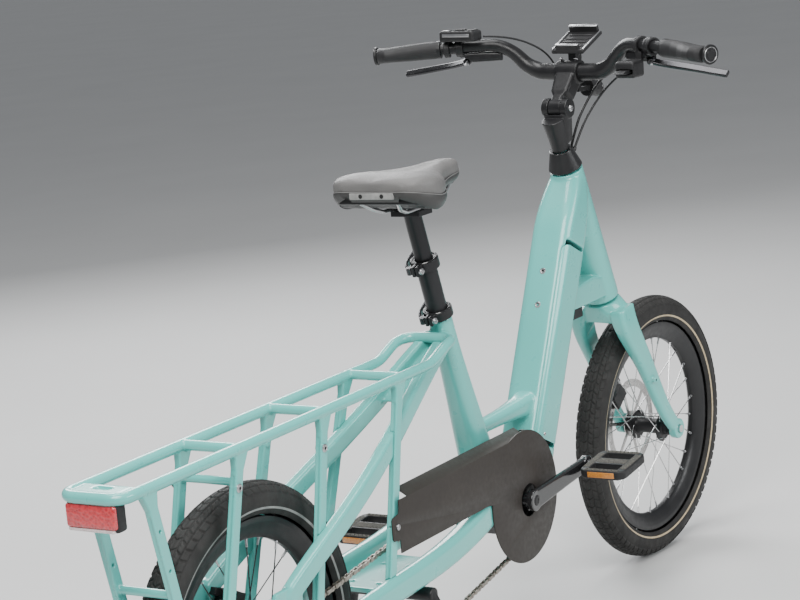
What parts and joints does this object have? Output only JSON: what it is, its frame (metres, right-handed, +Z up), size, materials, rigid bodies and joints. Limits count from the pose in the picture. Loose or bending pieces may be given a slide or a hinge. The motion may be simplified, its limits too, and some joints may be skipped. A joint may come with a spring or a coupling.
{
  "type": "electric cargo bicycle",
  "caption": "Long-tail electric cargo bicycle with a low step-through frame, a tubular rear rack, small wheels, a covered chain and an upright handlebar.",
  "frame": {"origin": "on the ground under the middle of the whole bicycle", "axes": "+X forwards along the bicycle, +Y to its left, +Z up"},
  "size_m": [1.9669, 0.723, 1.0911],
  "materials": {
    "frame_paint": "gloss",
    "black_metal": "satin",
    "bright_steel": "bright",
    "chain_steel": "oiled",
    "black_plastic": "matte",
    "silver_metal": "satin",
    "black_rubber": "matte",
    "tyre_rubber": "matte",
    "saddle_cover": "matte",
    "red_lens": "gloss"
  },
  "bodies": {
    "frame": {"head_tube": "frame_paint", "down_tube": "frame_paint", "seat_tube": "frame_paint", "stay_tubes": "frame_paint", "frame_plates": "frame_paint", "rack_loop": "frame_paint", "rack_struts": "frame_paint", "seat_clamp": "black_metal", "rear_light": "red_lens", "headset_bearings": "bright_steel", "steering_stop": "black_rubber", "drive_unit": "black_metal", "chain_guard": "black_plastic", "guard_screws": "bright_steel", "derailleur": "black_metal", "chain": "chain_steel", "rear_axle": "bright_steel", "rear_caliper": "black_metal"},
    "battery": {"battery_pack": "black_plastic", "battery_cover": "frame_paint"},
    "fork": {"fork": "frame_paint", "cone_spacer": "black_metal", "stem_base": "black_metal", "front_caliper": "black_metal", "front_axle": "bright_steel"},
    "handlebar": {"stem_arm": "black_metal", "handlebar": "black_metal", "grips": "black_rubber", "brake_bodies": "black_metal", "control_housings": "black_plastic", "phone_cradle": "black_plastic", "front_light": "black_plastic", "hoses": "black_rubber"},
    "lever_left": {"lever_left": "silver_metal"},
    "lever_right": {"lever_right": "silver_metal"},
    "assist_button": {"assist_button": "black_plastic"},
    "shift_paddle": {"shift_paddle": "black_plastic"},
    "front_wheel": {"front_tyre": "tyre_rubber", "front_rim": "black_metal", "front_spokes": "bright_steel", "front_hub": "black_metal"},
    "rear_wheel": {"rear_tyre": "tyre_rubber", "rear_rim": "black_metal", "rear_spokes": "black_metal", "rear_hub": "black_metal"},
    "crankset": {"crank_arms": "black_metal", "chainring": "chain_steel"},
    "pedal_right": {"pedal_right": "black_plastic"},
    "pedal_left": {"pedal_left": "black_plastic"},
    "cassette": {"cassette": "chain_steel"},
    "jockey_upper": {"jockey_upper": "black_plastic"},
    "jockey_lower": {"jockey_lower": "black_plastic"},
    "post_lower": {"seatpost_lower": "black_metal"},
    "post_upper": {"seatpost_upper": "black_metal", "saddle_rails": "silver_metal", "saddle_pad": "saddle_cover", "saddle_shell": "black_plastic"},
    "seat_lever": {"seat_lever": "silver_metal"},
    "post_lever": {"post_lever": "silver_metal"},
    "kickstand": {"kickstand": "black_metal"}
  },
  "joints": [
    {"name": "steering", "type": "hinge", "parent": "frame", "child": "fork", "pos_m": [0.447, 0, 0.825], "axis": [-0.3665, 0, 0.9304], "range_deg": [-56, 63]},
    {"name": "stem_tilt", "type": "hinge", "parent": "fork", "child": "handlebar", "pos_m": [0.43095, -0.00175, 0.93698], "axis": [0.0621, 0.9978, 0.0245], "range_deg": [-20, 20], "deforming": ["hoses"]},
    {"name": "lever_left_pull", "type": "hinge", "parent": "handlebar", "child": "lever_left", "pos_m": [0.44805, 0.1914, 1.02775], "axis": [0.5959, -0.3943, 0.6996], "range_deg": [0, 14], "stiffness_Nm_per_rad": 0.8, "springref_deg": -17.19},
    {"name": "lever_right_pull", "type": "hinge", "parent": "handlebar", "child": "lever_right", "pos_m": [0.42369, -0.19973, 1.01815], "axis": [-0.6381, -0.2827, -0.7162], "range_deg": [0, 14], "stiffness_Nm_per_rad": 0.8, "springref_deg": -17.19},
    {"name": "assist_press", "type": "slide", "parent": "handlebar", "child": "assist_button", "axis": [0.0008, 0.0245, -0.9997], "range_m": [0, 0.001], "stiffness_N_per_m": 600, "springref_m": -0.001},
    {"name": "shift_push", "type": "slide", "parent": "handlebar", "child": "shift_paddle", "axis": [0.9981, -0.0621, -0.0008], "range_m": [0, 0.006], "stiffness_N_per_m": 400, "springref_m": -0.002},
    {"name": "front_wheel_spin", "type": "hinge", "parent": "fork", "child": "front_wheel", "pos_m": [0.7183, -0.00308, 0.26196], "axis": [0.0621, 0.9978, 0.0245], "continuous": true},
    {"name": "rear_wheel_spin", "type": "hinge", "parent": "frame", "child": "rear_wheel", "pos_m": [-0.668, 0, 0.262], "axis": [0, 1, 0], "continuous": true},
    {"name": "crank_spin", "type": "hinge", "parent": "frame", "child": "crankset", "pos_m": [0.084, 0, 0.293], "axis": [0, 1, 0], "continuous": true},
    {"name": "pedal_right_spin", "type": "hinge", "parent": "crankset", "child": "pedal_right", "pos_m": [0.2526, 0, 0.3149], "axis": [0, 1, 0], "continuous": true},
    {"name": "pedal_left_spin", "type": "hinge", "parent": "crankset", "child": "pedal_left", "pos_m": [-0.0846, 0, 0.2711], "axis": [0, 1, 0], "continuous": true},
    {"name": "cassette_spin", "type": "hinge", "parent": "frame", "child": "cassette", "pos_m": [-0.668, 0, 0.262], "axis": [0, 1, 0], "continuous": true},
    {"name": "jockey_upper_spin", "type": "hinge", "parent": "frame", "child": "jockey_upper", "pos_m": [-0.644, 0, 0.192], "axis": [0, 1, 0], "continuous": true},
    {"name": "jockey_lower_spin", "type": "hinge", "parent": "frame", "child": "jockey_lower", "pos_m": [-0.61, 0, 0.116], "axis": [0, 1, 0], "continuous": true},
    {"name": "battery_tilt", "type": "hinge", "parent": "frame", "child": "battery", "pos_m": [0.22621, -0.041, 0.35908], "axis": [0.891, 0, -0.454], "range_deg": [0, 14]},
    {"name": "post_lower_slide", "type": "slide", "parent": "frame", "child": "post_lower", "axis": [-0.3007, 0, 0.9537], "range_m": [-0.07, 0.06]},
    {"name": "post_upper_slide", "type": "slide", "parent": "post_lower", "child": "post_upper", "axis": [-0.3007, 0, 0.9537], "range_m": [-0.06, 0.05]},
    {"name": "seat_lever_turn", "type": "hinge", "parent": "frame", "child": "seat_lever", "pos_m": [-0.07732, 0.0134, 0.64456], "axis": [-0.3007, 0, 0.9537], "range_deg": [0, 110]},
    {"name": "post_lever_turn", "type": "hinge", "parent": "post_lower", "child": "post_lever", "pos_m": [-0.10558, 0.0134, 0.73421], "axis": [-0.3007, 0, 0.9537], "range_deg": [0, 110]},
    {"name": "kickstand_swing", "type": "hinge", "parent": "frame", "child": "kickstand", "pos_m": [-0.268, 0, 0.235], "axis": [0, 1, 0], "range_deg": [0, 92]}
  ],
  "couplings": [
    {"joint": "cassette_spin", "follows": "crank_spin", "ratio": 2},
    {"joint": "jockey_upper_spin", "follows": "crank_spin", "ratio": -3.8182},
    {"joint": "jockey_lower_spin", "follows": "crank_spin", "ratio": 3.8182}
  ]
}
